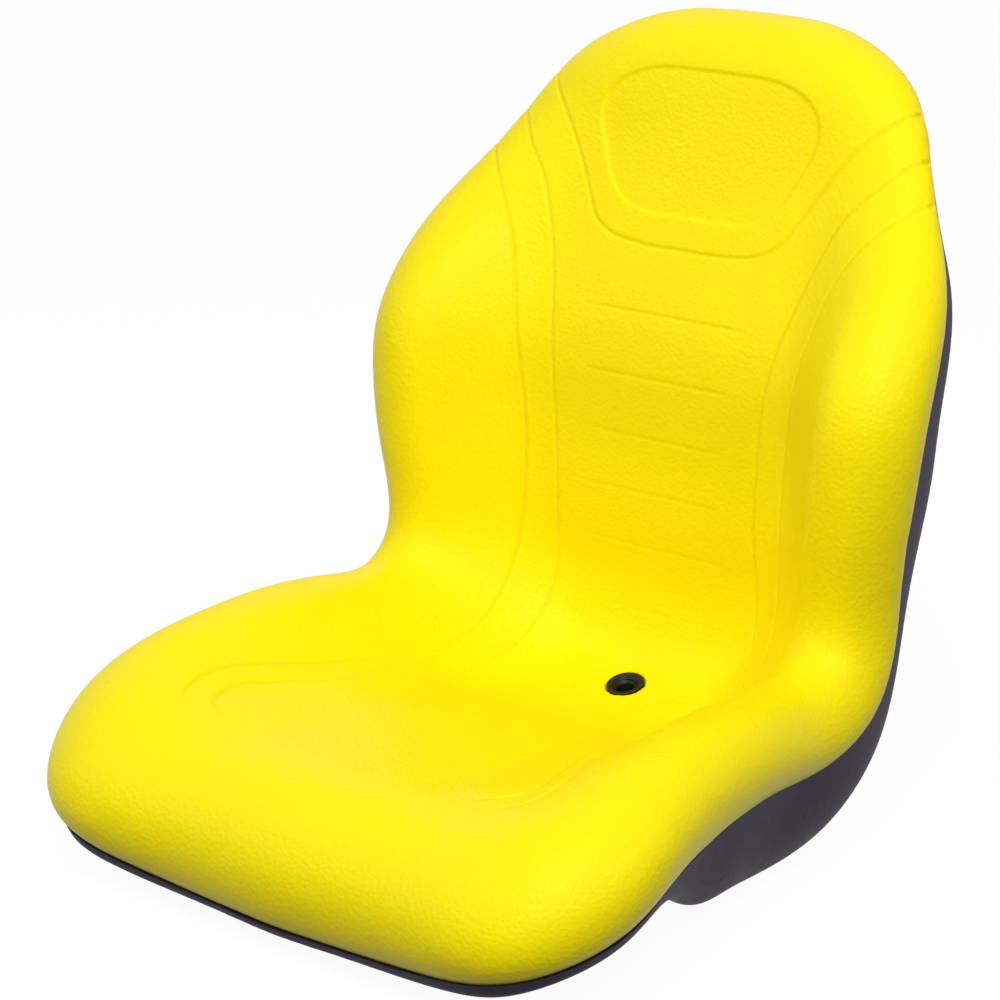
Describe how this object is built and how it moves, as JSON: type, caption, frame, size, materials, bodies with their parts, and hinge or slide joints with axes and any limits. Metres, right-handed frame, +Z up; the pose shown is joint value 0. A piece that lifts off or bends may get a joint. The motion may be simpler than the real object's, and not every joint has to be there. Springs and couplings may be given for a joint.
{
  "type": "mower seat",
  "caption": "High-back bucket seat for a ride-on mower: a moulded yellow vinyl cushion on a black moulded pan, with a drain at its low point and threaded inserts underneath for bolts.",
  "frame": {"origin": "Middle of the four mounting threads, on the plane of the pads under the pan.", "axes": "+Z is up, the front of the seat faces -Y, and +X is to the right of a viewer who faces the seat from the front. -Z is the outward direction of the mounting threads."},
  "size_m": [0.4942, 0.566, 0.5534],
  "materials": {
    "yellow_vinyl": "satin vinyl with a fine leather grain",
    "black_textured_plastic": "fine moulded texture",
    "black_rubber": "satin moulded rubber",
    "zinc_steel": "zinc plated"
  },
  "bodies": {
    "root": {"cushion": "yellow_vinyl", "seat_pan": "black_textured_plastic", "drain_grommet": "black_rubber", "mount_inserts": "zinc_steel"}
  },
  "joints": []
}
